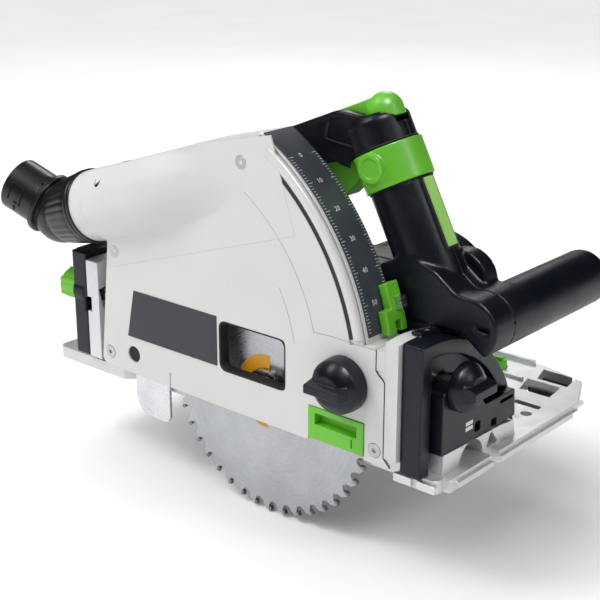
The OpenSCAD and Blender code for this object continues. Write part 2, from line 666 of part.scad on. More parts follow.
module handle_shell_right() color(navy) {
    difference() {
        union() {
            handle_body(grip_y, grip_y + 20);
            yrod(bar, bar_r, grip_y + 10, bar_end - 6);
            translate([bar[0], bar_end - 6 - eps, bar[1]]) rotate([-90, 0, 0])
                cylinder(r1 = bar_r, r2 = bar_r - 5, h = 6);
        }
        yrod(bar, bar_r - 3.5, grip_y + 4, bar_end - 8);
    }
}
module grip_inlay() color(green) on_grip() translate([16.2, -4, -33.8]) cube([3.6, 8, 40.6]);
module switch_module() color([0.25, 0.25, 0.27])
    translate([2, grip_y - 9, 174]) rotate([0, -25, 0]) translate([-20, 0, -6]) cube([27, 18, 12]);
module speed_electronics() color([0.1, 0.35, 0.2])
    on_grip() translate([-8, -10.8, -40]) cube([16, 21.6, 34]);
module cord_inlet() color(navy) translate([-60, grip_y, 118]) rotate([0, -100, 0]) difference() {
    union() {
        translate([0, 0, 0.5]) cylinder(r = 9.9, h = 20);
        translate([0, 0, 10.5]) cylinder(r = 11.5, h = 6);
    }
    translate([0, 0, 8]) cylinder(r = 7.5, h = 20);
}
module trigger() color(green) yslab(grip_y - 7, grip_y + 7)
    polygon(rounded([[15, 166, 3], [20, 146, 3], [31, 145, 3], [37, 152, 4], [44, 160, 2], [44, 172, 2],
        [15, 172, 2]]));
module switch_lock() color(green) {
    yslab(grip_y - 6, grip_y + 6) polygon([[17.2, 187], [17.2, 192], [40, 201.5], [48, 205], [50, 191.8]]);
    on_grip() translate([dome_x, 0, 50]) {
        translate([0, 0, -5.5]) cylinder(r = dome_r, h = 5.5 + eps);
        difference() {
            sphere(r = dome_r);
            translate([-15, -15, -30]) cube(30);
        }
    }
}
module swing_lever() color(green) on_grip() {
    difference() {
        translate([0, 0, band_z]) cylinder(r = grip_r + 1.8, h = band_w);
        translate([0, 0, band_z - 1]) cylinder(r = grip_r - 1.6 + gap, h = band_w + 2);
        translate([-60, -8, band_z - 1]) cube([56, 53, band_w + 2]);
    }
    translate([0, -grip_r, band_z + band_w / 2 + 2]) rotate([90, 0, 0]) difference() {
        cylinder(r = 8.6, h = 3.4);
        translate([0, 0, 2.6]) cylinder(r = 5.8, h = 2);
    }
}
module speed_dial() color(green) difference() {
    union() {
        yrod([-44, 146], 9, grip_y + 10.3, grip_y + 16.5);
        for (a = [0:30:330]) yrod(polar([-44, 146], 8.2, a), 1, grip_y + 16, grip_y + 17);
    }
    yrod([-44, 146], 3, grip_y + 13, grip_y + 20);
}

// ---- blade and drive ----
tip_r = blade_d / 2;
first_tip = 201.85;
function tooth(a) = let (p = 360 / blade_teeth) [
    polar([0, 0], tip_r, a), polar([0, 0], tip_r - 3.2, a - 0.1), polar([0, 0], tip_r - 6.3, a + 0.12 * p),
    polar([0, 0], tip_r - 7, a + 0.3 * p), polar([0, 0], tip_r - 5.6, a + 0.5 * p),
    polar([0, 0], tip_r - 2.4, a + 0.64 * p)];
module saw_blade() color(steel) translate([0, 0, arbor_z]) yslab(-blade_t / 2, blade_t / 2) difference() {
    polygon([for (i = [0:blade_teeth - 1]) each tooth(first_tip + i * 360 / blade_teeth)]);
    circle(r = 10);
}
module inner_flange() color(steel) difference() {
    union() {
        yrod(arbor, 9.95, -blade_t / 2, blade_t / 2 + eps);
        yrod(arbor, 19, blade_t / 2, 5);
        yrod(arbor, 9, 5 - eps, 9.2);
    }
    yrod(arbor, 6, -5, 20);
}
module outer_flange() color(steel) difference() {
    yrod(arbor, 15, -4.4, -blade_t / 2);
    yrod(arbor, 12, -5, -3.6);
    yrod(arbor, 4, -5, 0);
}
module arbor_bolt() color(steel) difference() {
    union() {
        yrod(arbor, 10, -9.6, -3.6);
        yrod(arbor, 4, -3.7, 20);
    }
    yrod(arbor, 3.5, -10, -5.5, $fn = 6);
}
module arbor_shaft() color(steel) difference() {
    union() {
        yrod(arbor, 6, -blade_t / 2, 30);
        yrod(arbor, 5, 29, 44.8);
    }
    yrod(arbor, 4, -5, 20);
}
module arbor_gear() color(steel) translate([arbor[0], 0, arbor[1]]) yslab(19, 29)
    gear(z_arbor, slow_m, motor_angle, 6);
module layshaft() color(steel) {
    yrod(lay, 4.4, 16, 44.8);
    translate([lay[0], 0, lay[1]]) yslab(19.2, 29.2)
        polygon(gear_points(z_lay_out, slow_m, motor_angle + 180 + 180 / z_lay_out));
    translate([lay[0], 0, lay[1]]) yslab(33, 40) polygon(gear_points(z_lay_in, fast_m, motor_angle));
}
module rotor_shaft() color(steel) {
    yrod(motor, 4, 41, 135.8);
    translate([motor[0], 0, motor[1]]) yslab(32.8, 41.2)
        polygon(gear_points(z_motor, fast_m, motor_angle + 180 + 180 / z_motor));
}
module rotor_core() color([0.65, 0.4, 0.22]) {
    yring(motor, 22, 4, 66, 110);
    yring(motor, 12, 4, 113, 127.5);
    yring(motor, 9, 4, 110 - eps, 113 + eps);
}
module cooling_fan() color(navy) {
    yring(motor, 14, 4, 51.5, 61);
    yring(motor, 35, 13, 51.5, 53.5);
    for (a = [0:30:330]) translate([motor[0], 0, motor[1]]) rotate([0, a, 0])
        box([-0.8, 53, 13], [0.8, 60, 34]);
}

base_plate();
front_segment();
clamp_block();
rear_segment();
segment_screws();
edge_clips();
front_clamp_bolt();
rear_clamp_bolt();
front_bevel_knob();
rear_bevel_knob();
front_rail_cam();
rear_rail_cam();
guard_housing();
blade_cover();
front_flange();
rear_flange();
dust_duct();
depth_scale();
name_plate();
cover_screws();
plunge_axle();
plunge_spring();
knife_guide();
splinter_guard();
cover_knob();
depth_stop();
stop_tab();
elbow_collar();
dust_elbow();
hose_ring();
riving_knife();
gear_case();
bearing_plate();
arbor_bearings();
motor_housing();
motor_end_cap();
stator();
brush_holders();
motor_bearings();
case_screws();
handle_shell_left();
handle_shell_right();
grip_inlay();
switch_module();
speed_electronics();
cord_inlet();
trigger();
switch_lock();
swing_lever();
speed_dial();
saw_blade();
inner_flange();
outer_flange();
arbor_bolt();
arbor_shaft();
arbor_gear();
layshaft();
rotor_shaft();
rotor_core();
cooling_fan();
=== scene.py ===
"""Looks of the track plunge saw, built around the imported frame. Metres; +X feed, +Y blade to motor, +Z up."""
import math
import bmesh
import bpy
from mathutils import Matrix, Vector


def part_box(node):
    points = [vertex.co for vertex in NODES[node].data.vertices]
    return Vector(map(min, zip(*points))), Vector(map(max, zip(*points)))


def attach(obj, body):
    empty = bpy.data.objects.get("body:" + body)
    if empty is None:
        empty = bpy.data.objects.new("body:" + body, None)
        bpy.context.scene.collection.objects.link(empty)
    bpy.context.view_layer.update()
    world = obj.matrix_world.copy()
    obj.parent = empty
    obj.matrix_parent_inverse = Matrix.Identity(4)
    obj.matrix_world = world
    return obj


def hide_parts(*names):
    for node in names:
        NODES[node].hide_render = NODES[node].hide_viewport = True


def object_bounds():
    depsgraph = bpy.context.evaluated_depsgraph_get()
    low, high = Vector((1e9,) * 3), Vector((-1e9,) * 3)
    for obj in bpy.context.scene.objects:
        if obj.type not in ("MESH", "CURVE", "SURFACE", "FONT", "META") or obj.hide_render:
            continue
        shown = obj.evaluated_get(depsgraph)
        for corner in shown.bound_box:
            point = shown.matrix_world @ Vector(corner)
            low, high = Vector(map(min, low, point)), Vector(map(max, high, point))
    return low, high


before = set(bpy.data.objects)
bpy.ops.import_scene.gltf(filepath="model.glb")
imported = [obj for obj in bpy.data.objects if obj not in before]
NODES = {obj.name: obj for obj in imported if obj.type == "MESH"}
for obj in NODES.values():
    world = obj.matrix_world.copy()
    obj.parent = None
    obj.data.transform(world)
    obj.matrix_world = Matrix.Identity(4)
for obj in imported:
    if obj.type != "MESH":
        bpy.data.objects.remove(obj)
CAD_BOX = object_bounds()
scene = bpy.context.scene


# ---------------------------------------------------------------- materials
class Look:
    """A node material in the making: small helpers over one node tree."""

    def __init__(self, name):
        self.mat = bpy.data.materials.new(name)
        self.mat.use_nodes = True
        self.tree = self.mat.node_tree
        self.bsdf = self.tree.nodes["Principled BSDF"]
        self.coord = self.add("ShaderNodeTexCoord").outputs["Object"]
        self.normal = None

    def add(self, kind, **props):
        node = self.tree.nodes.new(kind)
        for key, value in props.items():
            setattr(node, key, value)
        return node

    def link(self, a, b):
        self.tree.links.new(a, b)

    def put(self, **values):
        for key, value in values.items():
            self.bsdf.inputs[key.replace("_", " ")].default_value = value
        return self

    def stretched(self, scale):
        node = self.add("ShaderNodeMapping")
        self.link(self.coord, node.inputs["Vector"])
        node.inputs["Scale"].default_value = scale
        return node.outputs["Vector"]

    def noise(self, scale, detail=3.0, rough=0.55, stretch=None):
        node = self.add("ShaderNodeTexNoise")
        node.inputs["Scale"].default_value = scale
        node.inputs["Detail"].default_value = detail
        node.inputs["Roughness"].default_value = rough
        self.link(self.stretched(stretch) if stretch else self.coord, node.inputs["Vector"])
        return node.outputs["Fac"]

    def cells(self, scale, feature="F1", stretch=None):
        node = self.add("ShaderNodeTexVoronoi", feature=feature)
        node.inputs["Scale"].default_value = scale
        self.link(self.stretched(stretch) if stretch else self.coord, node.inputs["Vector"])
        return node.outputs["Distance"]

    def span(self, value, lo, hi, to_lo, to_hi):
        node = self.add("ShaderNodeMapRange")
        self.link(value, node.inputs["Value"])
        for key, v in zip(("From Min", "From Max", "To Min", "To Max"), (lo, hi, to_lo, to_hi)):
            node.inputs[key].default_value = v
        return node.outputs["Result"]

    def ramp(self, value, *stops):
        node = self.add("ShaderNodeValToRGB")
        self.link(value, node.inputs["Fac"])
        band = node.color_ramp
        while len(band.elements) < len(stops):
            band.elements.new(0.5)
        for element, (at, colour) in zip(band.elements, stops):
            element.position = at
            element.color = (*colour, 1.0)
        return node.outputs["Color"]

    def mix(self, fac, a, b):
        node = self.add("ShaderNodeMix", data_type="RGBA")
        self.link(fac, node.inputs["Factor"])
        for socket, v in ((node.inputs[6], a), (node.inputs[7], b)):
            if isinstance(v, tuple):
                socket.default_value = (*v, 1.0)
            else:
                self.link(v, socket)
        return node.outputs[2]

    def bevel(self, radius):
        """Edges of this radius catch the light, as moulded and cast edges do."""
        node = self.add("ShaderNodeBevel", samples=4)
        node.inputs["Radius"].default_value = radius
        self.normal = node.outputs["Normal"]
        return self

    def bump(self, height, strength, distance):
        node = self.add("ShaderNodeBump")
        node.inputs["Strength"].default_value = strength
        node.inputs["Distance"].default_value = distance
        self.link(height, node.inputs["Height"])
        if self.normal is not None:
            self.link(self.normal, node.inputs["Normal"])
        self.normal = node.outputs["Normal"]
        return self

    def colour(self, socket):
        self.link(socket, self.bsdf.inputs["Base Color"])
        return self

    def rough(self, socket):
        self.link(socket, self.bsdf.inputs["Roughness"])
        return self

    def done(self):
        if self.normal is not None:
            self.link(self.normal, self.bsdf.inputs["Normal"])
        return self.mat


def near(c, f):
    return tuple(min(1.0, v * f) for v in c)


def plastic(name, colour, rough=0.42, grain=900.0, depth=0.00006, edge=0.0008, worn=1.25, coat=0.0,
            gloss=0.5):
    """Moulded plastic: fine spark-eroded grain, faint mottling, lighter rubbed patches, soft edges."""
    m = Look(name).put(Specular_IOR_Level=gloss, Coat_Weight=coat, Coat_Roughness=0.25)
    patches = m.noise(22.0, 4.0)
    m.colour(m.ramp(patches, (0.30, near(colour, 0.88)), (0.55, colour), (0.80, near(colour, worn))))
    m.rough(m.span(m.noise(60.0, 5.0), 0.3, 0.7, rough - 0.05, rough + 0.07))
    m.bevel(edge)
    m.bump(m.cells(grain), 0.35, depth)
    m.bump(m.noise(grain * 0.45, 2.0), 0.25, depth)
    return m.done()


def metal(name, colour, rough=0.32, brush=(60.0, 60.0, 900.0), depth=0.00003, edge=0.0004):
    """Worked metal: brushing along one direction, smudges in the gloss, a dulled film here and there."""
    m = Look(name).put(Metallic=1.0)
    lines = m.noise(1.0, 4.0, 0.7, stretch=brush)
    film = m.noise(35.0, 5.0)
    m.colour(m.mix(m.span(film, 0.35, 0.75, 0.0, 1.0), colour, near(colour, 0.8)))
    m.rough(m.span(lines, 0.25, 0.75, rough - 0.09, rough + 0.12))
    m.bevel(edge)
    m.bump(lines, 0.3, depth)
    return m.done()


def paint(name, colour, rough=0.34):
    """Satin powder coat on cast metal: orange-peel ripple, a little dust in the gloss."""
    m = Look(name).put(Specular_IOR_Level=0.5, Coat_Weight=0.25, Coat_Roughness=0.2)
    m.colour(m.ramp(m.noise(14.0, 4.0), (0.3, near(colour, 0.955)), (0.6, colour),
                    (0.85, near(colour, 1.03))))
    m.rough(m.span(m.noise(240.0, 4.0), 0.3, 0.7, rough - 0.05, rough + 0.08))
    m.bevel(0.0007)
    m.bump(m.noise(900.0, 2.0), 0.22, 0.00005)
    m.bump(m.noise(150.0, 2.0), 0.10, 0.00012)
    return m.done()


def casting(name, colour):
    """Tumbled aluminium casting with a milled sheen."""
    m = Look(name).put(Metallic=0.75)
    pits = m.cells(700.0)
    cloud = m.noise(18.0, 5.0)
    m.colour(m.ramp(cloud, (0.25, near(colour, 0.86)), (0.55, colour), (0.8, near(colour, 1.07))))
    m.rough(m.span(m.noise(180.0, 4.0), 0.3, 0.7, 0.36, 0.56))
    m.bevel(0.0006)
    m.bump(pits, 0.3, 0.00006)
    m.bump(m.noise(1.0, 3.0, 0.6, stretch=(25.0, 900.0, 900.0)), 0.2, 0.00004)
    return m.done()


def sawn_steel(name, centre):
    """Blade steel, ground in circles about the arbor, with radial light in it."""
    m = Look(name).put(Metallic=1.0, Anisotropic=0.75, Anisotropic_Rotation=0.0)
    split = m.add("ShaderNodeSeparateXYZ")
    m.link(m.coord, split.inputs[0])

    def calc(op, a, b=None):
        node = m.add("ShaderNodeMath", operation=op)
        for socket, v in zip(node.inputs, (a, b)):
            if isinstance(v, (int, float)):
                socket.default_value = v
            elif v is not None:
                m.link(v, socket)
        return node.outputs[0]

    x = calc("SUBTRACT", split.outputs["X"], centre[0])
    z = calc("SUBTRACT", split.outputs["Z"], centre[2])
    radius = calc("SQRT", calc("ADD", calc("MULTIPLY", x, x), calc("MULTIPLY", z, z)))
    turn = calc("ARCTAN2", z, x)
    rings = m.add("ShaderNodeCombineXYZ")
    m.link(calc("MULTIPLY", radius, 2600.0), rings.inputs["X"])
    m.link(calc("MULTIPLY", turn, 3.0), rings.inputs["Y"])
    grind = m.add("ShaderNodeTexNoise")
    grind.inputs["Scale"].default_value = 1.0
    grind.inputs["Detail"].default_value = 3.0
    m.link(rings.outputs[0], grind.inputs["Vector"])
    m.colour(m.ramp(m.noise(30.0, 4.0), (0.3, (0.42, 0.43, 0.45)), (0.7, (0.52, 0.53, 0.55))))
    m.rough(m.span(grind.outputs["Fac"], 0.3, 0.7, 0.20, 0.38))
    tangent = m.add("ShaderNodeTangent", direction_type="RADIAL", axis="Y")
    m.link(tangent.outputs[0], m.bsdf.inputs["Tangent"])
    m.bevel(0.0002)
    m.bump(grind.outputs["Fac"], 0.12, 0.00001)
    return m.done()


def coils(name, colour, pitch):
    m = Look(name).put(Metallic=0.9)
    wave = m.add("ShaderNodeTexWave", wave_type="BANDS", bands_direction="X")
    wave.inputs["Scale"].default_value = pitch
    wave.inputs["Distortion"].default_value = 1.5
    m.link(m.coord, wave.inputs["Vector"])
    m.colour(m.mix(wave.outputs["Fac"], near(colour, 0.45), colour))
    m.rough(m.span(m.noise(300.0), 0.3, 0.7, 0.28, 0.5))
    m.bump(wave.outputs["Fac"], 0.6, 0.0003)
    return m.done()


ARBOR = sum(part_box("saw_blade"), Vector()) / 2
NAVY = (0.0040, 0.0054, 0.0115)
GREEN = (0.135, 0.50, 0.022)
PALE = (0.66, 0.655, 0.64)
LOOKS = {
    "navy_plastic": plastic("navy_plastic", NAVY, 0.33, grain=1100.0, depth=0.00011, gloss=0.36),
    "grip_plastic": plastic("grip_plastic", (0.0030, 0.0040, 0.0095), 0.36, grain=1100.0, depth=0.00013,
                            edge=0.0012, gloss=0.32),
    "green_plastic": plastic("green_plastic", GREEN, 0.36, grain=1500.0, depth=0.00003, worn=1.08, coat=0.15),
    "pale_paint": paint("pale_paint", PALE),
    "sole_alloy": casting("sole_alloy", (0.72, 0.73, 0.74)),
    "blade_steel": sawn_steel("blade_steel", ARBOR),
    "bright_steel": metal("bright_steel", (0.74, 0.75, 0.77), 0.24),
    "screw_steel": metal("screw_steel", (0.55, 0.56, 0.58), 0.30, brush=(700.0, 700.0, 700.0)),
    "spring_steel": metal("spring_steel", (0.42, 0.43, 0.46), 0.30, brush=(900.0, 90.0, 90.0)),
    "scale_print": plastic("scale_print", (0.045, 0.050, 0.062), 0.34, grain=2000.0,
                           depth=0.00002, edge=0.0003),
    "slate_label": plastic("slate_label", (0.016, 0.019, 0.028), 0.30, grain=2500.0,
                           depth=0.00002, edge=0.0002),
    "black_rubber": plastic("black_rubber", (0.010, 0.010, 0.011), 0.62, grain=700.0, depth=0.00008),
    "gear_steel": metal("gear_steel", (0.36, 0.35, 0.34), 0.34, brush=(90.0, 900.0, 90.0)),
    "lamination": coils("lamination", (0.36, 0.36, 0.38), 420.0),
    "winding": coils("winding", (0.62, 0.25, 0.09), 900.0),
    "brass_holder": metal("brass_holder", (0.62, 0.43, 0.17), 0.30),
    "board": plastic("board", (0.012, 0.085, 0.035), 0.45, grain=400.0),
    "switch_black": plastic("switch_black", (0.014, 0.014, 0.015), 0.45),
    "seam_grey": plastic("seam_grey", (0.26, 0.26, 0.26), 0.6, edge=0.0001),
    "seam_dark": plastic("seam_dark", (0.045, 0.045, 0.048), 0.6, edge=0.0001),
    "channel_shadow": plastic("channel_shadow", (0.035, 0.035, 0.037), 0.55, edge=0.0002, worn=2.2),
    "amber_mark": plastic("amber_mark", (0.80, 0.36, 0.015), 0.35, grain=2500.0, depth=0.00001,
                          edge=0.0001, worn=1.1),
    "carbide": metal("carbide", (0.28, 0.28, 0.29), 0.36),
    "white_print": plastic("white_print", (0.72, 0.73, 0.75), 0.5, grain=3000.0, depth=0.00001, edge=0.00005),
    # a lighter copy of the green that paints the strong light on the grip inlay
    "green_painted_light": plastic("green_painted_light", (0.36, 0.68, 0.16), 0.34, grain=1500.0, depth=0.00003, worn=1.08),
    "elbow_black": plastic("elbow_black", (0.0095, 0.0095, 0.010), 0.34, edge=0.0007),
}
# each CAD part takes the look named after its material in model.glb
for name, node in NODES.items():
    for place in node.material_slots:
        place.material = LOOKS[place.material.name.split(".")[0]]

# ---------------------------------------------------------------- building tools
MM = 0.001


def shade(mesh, angle):
    mesh.shade_smooth()
    if angle:
        mesh.set_sharp_from_angle(angle=math.radians(angle))


def settle(name, mesh, body, look, replaces=()):
    mesh.name = name
    mesh.materials.clear()
    mesh.materials.append(LOOKS[look])
    o = bpy.data.objects.new(name, mesh)
    scene.collection.objects.link(o)
    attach(o, body)
    if replaces:
        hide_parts(*replaces)
    return o


def mesh_of(verts, faces, angle=35):
    """Mesh from points in millimetres, its faces turned outward."""
    mesh = bpy.data.meshes.new("shape")
    mesh.from_pydata([[c * MM for c in v] for v in verts], [], faces)
    bm = bmesh.new()
    bm.from_mesh(mesh)
    bmesh.ops.recalc_face_normals(bm, faces=bm.faces)
    bm.to_mesh(mesh)
    bm.free()
    shade(mesh, angle)
    return mesh


def joined(meshes, angle=35):
    bm = bmesh.new()
    for mesh in meshes:
        bm.from_mesh(mesh)
    whole = bpy.data.meshes.new("joined")
    bm.to_mesh(whole)
    bm.free()
    shade(whole, angle)
    return whole


def slab(outline, y0, y1):
    """Outline of (x, z) points as a slab between two y values."""
    n = len(outline)
    verts = [(x, y0, z) for x, z in outline] + [(x, y1, z) for x, z in outline]
    faces = [tuple(range(n)), tuple(range(2 * n - 1, n - 1, -1))]
    faces += [(i, (i + 1) % n, n + (i + 1) % n, n + i) for i in range(n)]
    return mesh_of(verts, faces)


def at(c, r, a):
    return (c[0] + r * math.cos(math.radians(a)), c[1] + r * math.sin(math.radians(a)))


def lathe(profile, origin, axis, n=96, scallop=None):
    """Closed profile of (radius, height) turned about an axis; scallop(angle, height) scales the radius."""
    w = Vector(axis).normalized()
    u = w.orthogonal().normalized()
    v = w.cross(u)
    verts, m = [], len(profile)
    for i in range(n):
        a = 2 * math.pi * i / n
        for r, h in profile:
            k = scallop(a, h) if scallop else 1.0
            verts.append(Vector(origin) + (u * math.cos(a) + v * math.sin(a)) * r * k + w * h)
    faces = [(i * m + j, i * m + (j + 1) % m, ((i + 1) % n) * m + (j + 1) % m, ((i + 1) % n) * m + j)
             for i in range(n) for j in range(m)]
    return mesh_of(verts, faces)


def swept(path, normals, section):
    """Strip along path points; section is an open list of (across, out) in millimetres."""
    verts, m = [], len(section)
    for p, (across, out) in zip(path, normals):
        for a, h in section:
            verts.append(Vector(p) + Vector(across) * a + Vector(out) * h)
    faces = [(i * m + j, i * m + j + 1, (i + 1) * m + j + 1, (i + 1) * m + j)
             for i in range(len(path) - 1) for j in range(m - 1)]
    return mesh_of(verts, faces)


def remoulded(name, nodes, voxel, rounds, body, look, extra=(), calm=None):
    """One moulded skin over CAD solids: their mesh on a fine voxel grid, its edges softened.
    calm(point in mm) gives how far a point may be softened, from 0 to 1."""
    bm = bmesh.new()
    for n in nodes:
        bm.from_mesh(NODES[n].data)
    for mesh in extra:
        bm.from_mesh(mesh)
    whole = bpy.data.meshes.new(name)
    bm.to_mesh(whole)
    bm.free()
    o = bpy.data.objects.new(name, whole)
    scene.collection.objects.link(o)
    skin = o.modifiers.new("skin", "REMESH")
    skin.mode = "VOXEL"
    skin.voxel_size = voxel * MM
    settled = bpy.data.meshes.new_from_object(o.evaluated_get(bpy.context.evaluated_depsgraph_get()))
    o.modifiers.clear()
    o.data = settled
    group = ""
    if calm:
        group = "free"
        held = o.vertex_groups.new(name=group)
        bins = {}
        for v in settled.vertices:
            bins.setdefault(round(max(0.0, min(1.0, calm(v.co / MM))), 1), []).append(v.index)
        for weight, rows in bins.items():
            held.add(rows, weight, "REPLACE")
    soft = o.modifiers.new("soft", "SMOOTH")
    soft.factor = 0.5
    soft.iterations = rounds
    soft.vertex_group = group
    final = bpy.data.meshes.new_from_object(o.evaluated_get(bpy.context.evaluated_depsgraph_get()))
    bpy.data.objects.remove(o)
    for attribute in [a.name for a in final.attributes if not a.is_required and not a.is_internal]:
        final.attributes.remove(final.attributes[attribute])
    shade(final, 0)
    return settle(name, final, body, look, nodes)


def lettering(text, size):
    """Digits as a flat mesh in the xy plane, centred, in millimetres."""
    curve = bpy.data.curves.new("digits", "FONT")
    curve.body = text
    curve.size = size
    curve.align_x = "CENTER"
    curve.align_y = "CENTER"
    curve.resolution_u = 2
    o = bpy.data.objects.new("digits", curve)
    scene.collection.objects.link(o)
    mesh = bpy.data.meshes.new_from_object(o.evaluated_get(bpy.context.evaluated_depsgraph_get()))
    bpy.data.objects.remove(o)
    verts = [tuple(v.co) for v in mesh.vertices]
    faces = [tuple(p.vertices) for p in mesh.polygons]
    return verts, faces


# ---------------------------------------------------------------- shared dimensions, millimetres
PIVOT = (-72.0, 48.0)
ARBOR_XZ = (0.0, 25.0)
ARC_R = 159.5
COVER_Y = -13.0
DUCT_END = Vector((-147.0, -3.5, 115.8))
DUCT_R = 23.3
TILT = math.radians(18)
DUCT_IN = Vector((math.cos(TILT), 0, math.sin(TILT)))
DUCT_UP = Vector((-math.sin(TILT), 0, math.cos(TILT)))
BALL_Z = 33.5
GRIP_MID = Vector((70.0, 40.0, 150.0))
LEAN = math.radians(62.5)
GRIP_UP = Vector((-math.cos(LEAN), 0, math.sin(LEAN)))
GRIP_OUT = Vector((math.sin(LEAN), 0, math.cos(LEAN)))


def smooth01(t):
    t = max(0.0, min(1.0, t))
    return t * t * (3 - 2 * t)


# ---------------------------------------------------------------- guard
def duct_fairing():
    """The extraction duct running out into the cover in one soft swelling."""
    low, top, far = -40.0, 22.4, 176.0
    rear_a, rear_b = Vector((-126, 0, 97)), Vector((-140.5, 0, 141.7))

    def rear(t):
        a, b = rear_a - DUCT_END, rear_b - DUCT_END
        ta, tb = a.dot(DUCT_UP), b.dot(DUCT_UP)
        return a.dot(DUCT_IN) + (b.dot(DUCT_IN) - a.dot(DUCT_IN)) * (t - ta) / (tb - ta) + 0.4

    def height(s, t):
        plane = -COVER_Y + 0.03
        sunk = 24 * smooth01((s - 60) / 115)
        bulge = 3.55 + math.sqrt(max(0.0, DUCT_R ** 2 - t * t)) - sunk
        k = 9.0
        h = max(k - abs(plane - bulge), 0.0) / k
        return max(plane, bulge) + h * h * k / 4

    nu, nv = 110, 70
    verts = []
    for i in range(nu + 1):
        for j in range(nv + 1):
            guess = far * i / nu
            ceiling = top - 3.9 * max(0.0, guess - 119) / 46
            t = low + (ceiling - low) * j / nv
            s = rear(t) + (far - rear(t)) * i / nu
            p = DUCT_END + DUCT_IN * s + DUCT_UP * t
            verts.append((p.x, -height(s, t), p.z))
    m = nv + 1
    faces = [(i * m + j, (i + 1) * m + j, (i + 1) * m + j + 1, i * m + j + 1)
             for i in range(nu) for j in range(nv)]
    edge = list(range(m)) + [i * m + nv for i in range(1, nu + 1)]
    edge += [nu * m + j for j in range(nv - 1, -1, -1)] + [i * m for i in range(nu - 1, -1, -1)]
    base = len(verts)
    verts += [(verts[k][0], -12.2, verts[k][2]) for k in edge]
    n = len(edge)
    faces += [(edge[q], edge[(q + 1) % n], base + (q + 1) % n, base + q) for q in range(n - 1)]
    settle("duct_fairing", mesh_of(verts, faces, 30), "head", "pale_paint")


duct_fairing()


def line_strip(name, points, width, body, look, y=COVER_Y - 0.04, deep=0.3):
    """A thin line along (x, z) points on the face of the cover."""
    parts = []
    for (x0, z0), (x1, z1) in zip(points, points[1:]):
        d = Vector((x1 - x0, z1 - z0))
        if d.length == 0:
            continue
        d.normalize()
        n = Vector((-d.y, d.x)) * width / 2
        e = d * width * 0.3
        parts.append(slab([(x0 - e.x + n.x, z0 - e.y + n.y), (x1 + e.x + n.x, z1 + e.y + n.y),
                           (x1 + e.x - n.x, z1 + e.y - n.y), (x0 - e.x - n.x, z0 - e.y - n.y)], y, y + deep))
    return settle(name, joined(parts), body, look)


def arc_points(c, r, a0, a1, n=40):
    return [at(c, r, a0 + (a1 - a0) * i / n) for i in range(n + 1)]


# seams of the inner cover panel
line_strip("cover_seam_outer", arc_points(PIVOT, 122.5, 63, 14.5) + [(60, 79.2), (74, 78.9), (90, 78.8)],
           0.32, "head", "seam_grey")
line_strip("cover_seam_inner", arc_points(PIVOT, 106.0, 29, 11.0, 24), 0.28, "head", "seam_grey")
# parting line between cover and front flange
line_strip("flange_seam", [(91.1, 79.0), (91.1, 67.0), (92.5, 65.2), (96.0, 62.6), (97.2, 61.0), (97.2, 16.0),
                           (101.8, 11.3)], 0.75, "head", "seam_dark")
wedge = slab([(91.6, 67.6), (97.4, 67.6), (97.4, 61.9)], COVER_Y + 0.1, -11.4)
settle("flange_wedge", wedge, "head", "pale_paint")


def rim():
    """Soft bead along the arc of the cover, and the shadowed channel beside it."""
    r = ARC_R - 2.5
    section = [(-6.1, -0.2), (-5.9, 0.25), (-5.2, 0.75), (-4.0, 1.15), (-2.6, 1.3), (-1.4, 1.1), (-0.5, 0.55),
               (-0.05, -0.3), (-0.05, -1.4)]
    path, normals = [], []
    for i in range(65):
        a = 12.6 + (57.0 - 12.6) * i / 64
        x, z = at(PIVOT, r, a)
        path.append((x, COVER_Y, z))
        normals.append(((math.cos(math.radians(a)), 0, math.sin(math.radians(a))), (0, -1, 0)))
    settle("cover_rim", swept(path, normals, section), "head", "pale_paint")
    channel = [(-9.6, 0.02), (-9.2, -0.35), (-8.4, -0.78), (-7.6, -0.9), (-6.8, -0.78), (-6.2, -0.2)]
    settle("rim_channel", swept(path, normals, channel), "head", "channel_shadow")


rim()


def rounded_loop(x0, z0, x1, z1, r, n=6):
    pts = []
    for cx, cz, a in ((x1 - r, z1 - r, 0), (x0 + r, z1 - r, 90), (x0 + r, z0 + r, 180),
                      (x1 - r, z0 + r, 270)):
        pts += [at((cx, cz), r, a + 90 * i / n) for i in range(n + 1)]
    return pts


def frame_of(inner, outer, y0, y1):
    """Flat frame between two loops with the same number of points."""
    n = len(inner)
    verts = [(x, y, z) for y in (y0, y1) for x, z in inner] + [(x, y, z) for y in (y0, y1) for x, z in outer]
    faces = []
    for i in range(n):
        j = (i + 1) % n
        faces += [(i, j, 2 * n + j, 2 * n + i), (n + i, n + j, 3 * n + j, 3 * n + i), (i, j, n + j, n + i),
                  (2 * n + i, 2 * n + j, 3 * n + j, 3 * n + i)]
    return mesh_of(verts, faces)


# black liner of the sight window, standing just inside its edge; its black also paints the shade inside the
# guard
settle("window_liner_painted_shade", frame_of(rounded_loop(-27.0, 37.0, 24.2, 67.2, 4.2),
                                rounded_loop(-28.2, 35.8, 25.2, 68.2, 5.0),
                                COVER_Y - 0.08, -6.0), "head", "black_rubber")
# dark cup behind the round sight hole, and the drip hole on the duct
settle("sight_cup", slab([at((-105, 26), 5.45, 15 * i) for i in range(24)], -11.9, -11.0), "head",
       "black_rubber")


